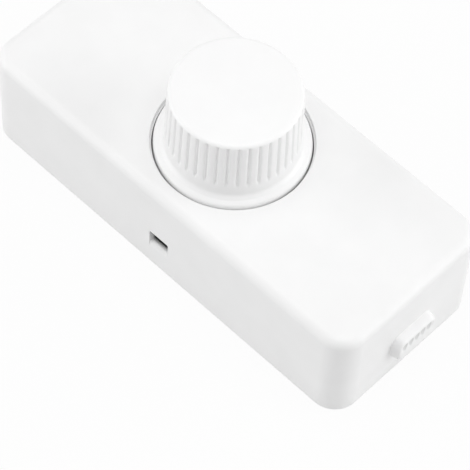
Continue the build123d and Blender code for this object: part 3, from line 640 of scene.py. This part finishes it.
# %% Ribs and ledges
def inside_of_cover(bm):
    """Stop ribs and catch ledges, sunk a little into the long walls."""
    ledge = [
        (inner_side + sunk, ledge_top), (inner_side - ledge_reach, ledge_top),
        (inner_side - ledge_reach, ledge_bottom), (inner_side, ledge_foot),
        (inner_side + sunk, ledge_foot),
    ]
    for side in (-1, 1):
        for end in (-1, 1):
            for place in rib_places:
                x = end * place
                near, far = side * (inner_side - rib_depth), side * (inner_side + sunk)
                low = (x - rib_width / 2, min(near, far), rib_bottom)
                box_between(bm, low, (x + rib_width / 2, max(near, far), rib_top))
            across = [(side * y, z) for y, z in ledge]
            prism(bm, across, ledge_width, end_place(end * ledge_place, 0))


# %% The whole cover
def moulded_cover():
    """The cover as a closed shell, with its ribs and ledges sunk into the walls."""
    bm = bmesh.new()
    outside = rounded_block(
        bm, 2 * half_length, 2 * half_width, 0, cover_top, corner_radius, corner_steps,
    )
    inside = rounded_block(
        bm, 2 * (half_length - wall), 2 * inner_side, 0, roof_underside,
        corner_radius - wall, corner_steps,
    )
    turned(bm, well_outline(), round_steps)
    refill(bm, flat_face(outside, up), [edges_at(bm, cover_top, well_radius + well_rim)])
    refill(bm, flat_face(inside, up), [edges_at(bm, roof_underside, cup_radius)])
    for side in (-1, 1):
        open_both_skins(bm, outside, inside, Vector((0, side, 0)), window_rims(bm, side))
        rims = [
            rim(bm, inlet_width, inlet_height, inlet_corner, 6, end_place(side * x, inlet_middle))
            for x in (half_length, half_length - wall)
        ]
        open_both_skins(bm, outside, inside, Vector((side, 0, 0)), rims)
    feet = [flat_face(outside, -up), flat_face(inside, -up)]
    outer_foot, inner_foot = (list(face.edges) for face in feet)
    bmesh.ops.delete(bm, geom=feet, context="FACES_ONLY")
    fill_between(bm, outer_foot, [inner_foot], -up)
    tidy_normals(bm)
    outline = [edge for edge in edges_at(bm, cover_top) if edge.calc_face_angle(0) > crisp_angle]
    round_off(bm, outline, top_edge_radius, 12)
    round_off(bm, [edge for edge in outer_foot if edge.is_valid], bottom_edge, 3)
    inside_of_cover(bm)
    return bm


make_piece(moulded_cover(), "moulded_cover", "housing_plastic", "housing", "cover")

# %% [markdown]
# The knob
#
# The real knob is moulded with forty narrow grip grooves between wide, slightly rounded
# lands. Modelling one groove and repeating it would leave a seam at each copy. It is simpler
# to turn the plain knob with many columns, crowd the columns towards the grooves, and press
# the grooves in with one formula: a narrow round-shouldered dip that fades out at both ends.

# %% Sizes of the knob
knob_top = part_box("knob")[1].z
knob_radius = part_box("knob")[1].x
knob_crown = 0.15 * mm
crown_at_rim = 0.7 * knob_crown
knob_edge = 0.9 * mm
side_top_radius = 12.45 * mm
side_foot_radius = 12.85 * mm
side_foot = cover_top + 1.5 * mm
foot_rounding = 1.0 * mm
flange_top = cover_top - 0.15 * mm
skirt_bottom = well_floor + 1.0 * mm
skirt_hollow_top = cover_top - 1.3 * mm
flange_edge = 0.85 * mm
flange_shoulder = (13.7 * mm, cover_top + 0.35 * mm)
hollow_radius = 10.6 * mm
skirt_hollow_radius = knob_radius - 1.3 * mm
knob_roof_underside = knob_top - knob_crown - 1.8 * mm
hub_radius = 5.4 * mm
hub_bottom = well_floor + 2.7 * mm
bore_radius = 3.05 * mm
bore_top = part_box("pot_shaft")[1].z + 0.4 * mm
hub_rib_count = 6
hub_rib_width = 1.1 * mm
hub_rib_bottom = cover_top + 5.0 * mm
groove_count = 40
groove_phase = radians(1.9)
groove_depth = 0.42 * mm
groove_half_width = 0.42 * mm
land_rounding = 0.06 * mm
groove_bottom = cover_top + 3.7 * mm
groove_top = knob_top - knob_crown - 0.65 * mm
groove_fade = 0.45 * mm
columns_per_groove = 16
crowding = 0.4
side_cuts = 24
long_fall = 5 * mm
print("knob in mm:", [round(v / mm, 1) for v in (2 * knob_radius, knob_top - skirt_bottom)])


# %% Outline of the knob
def knob_outline():
    """From the crown down the outside, round the skirt and up inside to the bore's top."""
    return rounded_outline([
        (0, knob_top, 0),
        (side_top_radius - 2 * knob_edge, knob_top - crown_at_rim, 0),
        (side_top_radius, knob_top - knob_crown, knob_edge),
        (side_foot_radius, side_foot - foot_rounding / 2, foot_rounding),
        (*flange_shoulder, 0.6 * mm),
        (knob_radius, flange_top, flange_edge),
        (knob_radius, skirt_bottom, 0.2 * mm),
        (skirt_hollow_radius, skirt_bottom, 0.2 * mm),
        (skirt_hollow_radius, skirt_hollow_top, 0.3 * mm),
        (hollow_radius, skirt_hollow_top, 0.3 * mm),
        (hollow_radius, knob_roof_underside, 0.5 * mm),
        (hub_radius, knob_roof_underside, 0.4 * mm),
        (hub_radius, hub_bottom, 0.2 * mm),
        (bore_radius, hub_bottom, 0.2 * mm),
        (bore_radius, bore_top, 0),
        (0, bore_top, 0),
    ], steps=6)


# %% Pressing the grooves in
def smooth_step(value):
    """0 below 0, 1 above 1, and a soft way between them."""
    value = min(max(value, 0.0), 1.0)
    return value * value * (3 - 2 * value)


def press_grooves(verts):
    """Crowd the columns towards the grooves and press the grooves in."""
    sector = 2 * pi / groove_count
    for vert in verts:
        radius = vert.co.xy.length
        if radius < touching:
            continue
        angle = atan2(vert.co.y, vert.co.x) - groove_phase
        nearest = round(angle / sector)
        offset = (angle / sector - nearest) * 2
        offset = copysign(abs(offset) ** (1 + crowding), offset)
        angle = groove_phase + (nearest + offset / 2) * sector
        if radius > side_top_radius - knob_edge and vert.co.z > side_foot:
            away = abs(offset) * sector / 2 * radius
            dip = groove_depth * (1 - smooth_step(away / groove_half_width))
            dip += land_rounding * (1 - smooth_step(away / (sector / 2 * radius)))
            below = smooth_step((vert.co.z - groove_bottom) / groove_fade + 0.5)
            above = smooth_step((groove_top - vert.co.z) / groove_fade + 0.5)
            radius -= dip * below * above
        vert.co.x = radius * cos(angle)
        vert.co.y = radius * sin(angle)


# %% The whole knob
def grooved_knob():
    """The knob as a closed body, with its hub inside and ribs sunk into the hub and the wall."""
    bm = bmesh.new()
    outline = knob_outline()
    falls = [(above - below).y for above, below in zip(outline, outline[1:])]
    side = next(index for index, fall in enumerate(falls) if fall > long_fall)
    columns = groove_count * columns_per_groove
    press_grooves(turned(bm, outline, columns, cuts=[(side, side_cuts)]))
    for index in range(hub_rib_count):
        rib = box_between(
            bm, (hub_radius - sunk, -hub_rib_width / 2, hub_rib_bottom),
            (hollow_radius + sunk, hub_rib_width / 2, knob_roof_underside + sunk),
        )
        turn = Matrix.Rotation((index + 0.5) * 2 * pi / hub_rib_count, 4, "Z")
        bmesh.ops.transform(bm, matrix=turn, verts=rib)
    return bm


make_piece(grooved_knob(), "grooved_knob", "knob_plastic", "knob", "knob")

# %% [markdown]
# The grommets
#
# A soft grommet closes each cord inlet. Its face has a shallow recess with a row of five
# small dimples, where the skin can be pierced. Soft plastic leaves no crisp edge
# anywhere, so the recess has a slope instead of a wall and each dimple a rounded rim. The
# dips alone would hardly show on a white piece, so shade is painted into the finish there:
# a darker tone over each dimple, placed by the same sizes and stretched taller.

# %% Sizes of the grommets
grommet_width = 10.4 * mm
grommet_height = 6.1 * mm
grommet_corner = 1.8 * mm
grommet_draft = 0.3 * mm
grommet_edge = 0.45 * mm
grommet_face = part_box("cord_grommet_out")[1].x
flange_back = half_length - wall - 1.3 * mm
neck_slack = 0.1 * mm
recess_width = 8.6 * mm
recess_height = 2.4 * mm
recess_corner = 1.05 * mm
recess_depth = 0.15 * mm
recess_slope = 0.25 * mm
recess_rise = 1.05 * mm
dimple_radius = 0.78 * mm
dimple_stretch = 1.2
dimple_depth = 0.15 * mm
dimple_pitch = 1.6 * mm
dimple_count = 5
dimple_rings = 10
dimple_steps = 28
# Painted shade in the dimples: its darkest tone, the share of the radius where it is full, and how much
# taller than wide it reaches.
dimple_shade_tone = 0.72
dimple_shade_core = 0.65
dimple_shade_stretch = 1.75


# %% Painted shade in the dimples
def paint_dimple_shade(material):
    """Paint shade into a soft plastic's colour over its row of dimples, darkest at each middle."""
    tree = material.node_tree
    colour = tree.nodes["Principled BSDF"].inputs["Base Color"]
    unshaded_tone = colour.links[0].from_socket
    place = tree.nodes.new("ShaderNodeTexCoord")
    split = tree.nodes.new("ShaderNodeSeparateXYZ")
    tree.links.new(place.outputs["Object"], split.inputs["Vector"])
    y, z = split.outputs["Y"], split.outputs["Z"]
    across = calculate(tree, "WRAP", y, dimple_pitch / 2, -dimple_pitch / 2)
    rise = calculate(tree, "SUBTRACT", z, inlet_middle + recess_rise)
    height = calculate(tree, "DIVIDE", rise, dimple_shade_stretch)
    squares = [calculate(tree, "MULTIPLY", value, value) for value in (across, height)]
    distance = calculate(tree, "SQRT", calculate(tree, "ADD", *squares))
    half_row = dimple_count * dimple_pitch / 2
    in_row = calculate(tree, "LESS_THAN", calculate(tree, "ABSOLUTE", y), half_row)
    shade_falloff = tree.nodes.new("ShaderNodeMapRange")
    shade_falloff.interpolation_type = "SMOOTHSTEP"
    shade_falloff.inputs["From Min"].default_value = dimple_radius
    shade_falloff.inputs["From Max"].default_value = dimple_radius * dimple_shade_core
    tree.links.new(distance, shade_falloff.inputs["Value"])
    # Painted shade: full at the middle of each dimple in the row, fading out at its rim, none elsewhere.
    painted_shade = calculate(tree, "MULTIPLY", shade_falloff.outputs["Result"], in_row)
    dark_tone = (dimple_shade_tone, dimple_shade_tone, dimple_shade_tone, 1)
    tree.links.new(two_tones(tree, painted_shade, unshaded_tone, dark_tone), colour)


# %% The whole grommet
def dimple(bm, across, level):
    """Soft dip in a flat face, a little taller than wide. Returns its rim."""
    shares = [step / dimple_rings for step in range(dimple_rings + 1)]
    outline = [(dimple_radius * s, level - dimple_depth * (1 - s ** 3) ** 1.5) for s in shares]
    verts = turned(bm, outline, dimple_steps)
    own = set(verts)
    ring = [edge for edge in edges_at(bm, level, dimple_radius) if edge.verts[0] in own]
    bmesh.ops.scale(bm, vec=(1, dimple_stretch, 1), verts=verts)
    bmesh.ops.translate(bm, vec=(across, recess_rise, 0), verts=verts)
    return ring


def soft_grommet(end):
    """Grommet of one end, built lying on its back and then put in place."""
    bm = bmesh.new()
    floor = grommet_face - recess_depth
    head = rounded_block(
        bm, grommet_width, grommet_height, half_length, grommet_face, grommet_corner, 8,
    )
    rims = [
        rim(
            bm, recess_width - 2 * inset, recess_height - 2 * inset, recess_corner - inset, 5,
            Matrix.Translation((0, recess_rise, level)),
        )
        for inset, level in ((0, grommet_face), (recess_slope, floor))
    ]
    face = flat_face(head, up)
    narrower = (1 - 2 * grommet_draft / grommet_width, 1 - 2 * grommet_draft / grommet_height, 1)
    bmesh.ops.scale(bm, vec=narrower, verts=face.verts)
    outline = list(face.edges)
    refill(bm, face, [rims[0]])
    bmesh.ops.bridge_loops(bm, edges=rims[0] + rims[1])
    steps = [index - (dimple_count - 1) / 2 for index in range(dimple_count)]
    fill_between(bm, rims[1], [dimple(bm, step * dimple_pitch, floor) for step in steps], up)
    tidy_normals(bm)
    round_off(bm, [edge for edge in outline if edge.is_valid], grommet_edge, 5)
    rounded_block(
        bm, inlet_width - neck_slack, inlet_height - neck_slack,
        half_length - wall - neck_slack, half_length + neck_slack, inlet_corner, 6,
    )
    rounded_block(
        bm, grommet_width, grommet_height, flange_back, half_length - wall, grommet_corner, 8,
    )
    turn = Matrix.Rotation(0 if end > 0 else pi, 4, "Z")
    bmesh.ops.transform(bm, matrix=turn @ end_place(0, inlet_middle), verts=bm.verts)
    return bm


# The soft grommets' finish gets painted shade over its dimples.
paint_dimple_shade(materials["grommet_soft"])
make_piece(soft_grommet(1), "soft_grommet_out", "grommet_soft", "housing", "cord_grommet_out")
make_piece(soft_grommet(-1), "soft_grommet_in", "grommet_soft", "housing", "cord_grommet_in")

# %% [markdown]
# The choke's winding
#
# The choke on the board is a ring wound with one enamelled wire. The construction has the
# wound layer as a plain sleeve. Here the wire is one long line that runs round the ring's
# section again and again while it moves along the ring, thickened into a round wire.

# %% Sizes of the winding
ring_low, ring_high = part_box("choke_core")
ring_middle = (ring_low + ring_high) / 2
ring_outer = (ring_high.x - ring_low.x) / 2
ring_inner = 3.7 * mm
ring_half_height = (ring_high.z - ring_low.z) / 2
wire_radius = 0.42 * mm
wire_space = 0.03 * mm
turns = 19
points_per_turn = 28
wound_from = radians(-165)
wound_to = radians(165)
board_top = 6.2 * mm
pin_inset = 0.4 * mm
pin_spread = 1.25 * mm
pin_lean = 0.3 * mm


# %% A line thickened into a wire
def wire(points, radius):
    """Round wire along a line of points, as a bmesh."""
    line = bpy.data.curves.new("wire", "CURVE")
    line.dimensions = "3D"
    line.bevel_depth = radius
    line.bevel_resolution = 2
    line.use_fill_caps = True
    spline = line.splines.new("POLY")
    spline.points.add(len(points) - 1)
    for place, point in zip(spline.points, points):
        place.co = (*point, 1)
    holder = bpy.data.objects.new("wire", line)
    mesh = bpy.data.meshes.new_from_object(holder)
    bm = bmesh.new()
    bm.from_mesh(mesh)
    bpy.data.objects.remove(holder)
    bpy.data.curves.remove(line)
    bpy.data.meshes.remove(mesh)
    return bm


# %% The way of the wire
def around_section(share):
    """Place on the ring's section, grown by the wire: distance from the axis, and height."""
    middle = (ring_outer + ring_inner) / 2
    half_width = (ring_outer - ring_inner) / 2 + wire_radius + wire_space
    half_height = ring_half_height + wire_radius + wire_space
    across, height = cos(2 * pi * share), sin(2 * pi * share)
    squareness = max(abs(across), abs(height))
    growth = (squareness + 1) / 2 / squareness
    return middle + half_width * across * growth, half_height * height * growth


def choke_wire():
    """The whole wire, from one pin round the ring to the other pin."""
    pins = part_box("choke_winding")[0]
    path = []
    for step in range(turns * points_per_turn + 1):
        share = step / (turns * points_per_turn)
        angle = wound_from + (wound_to - wound_from) * share
        radius, height = around_section(step / points_per_turn)
        path.append(ring_middle + Vector((radius * cos(angle), radius * sin(angle), height)))
    ends = []
    for near in (path[0], path[-1]):
        side = 1 if near.y > ring_middle.y else -1
        foot_x = pins.x + pin_inset
        foot_y = ring_middle.y + side * pin_spread
        ends.append([
            Vector((foot_x, foot_y, pins.z)),
            Vector((foot_x, foot_y, board_top + wire_radius)),
            Vector((foot_x + pin_lean, foot_y, board_top + 2 * wire_radius)),
        ])
    return wire(ends[0] + path + ends[1][::-1], wire_radius)


make_piece(choke_wire(), "wound_wire", "enamelled_copper", "housing", "choke_winding")

# %% [markdown]
# What stays from the construction
#
# Screws, terminals, the board and its parts are right as they were built, so they keep their
# meshes and only get their finish. The construction already names a material for each of
# them, and the finish of the same name takes its place.

# %% Finishes of the construction's own pieces
for node in nodes.values():
    slot_name = node.material_slots[0].material.name.split(".")[0]
    node.material_slots[0].material = materials[slot_name]
print("gave a finish to", len(nodes), "pieces of the construction")
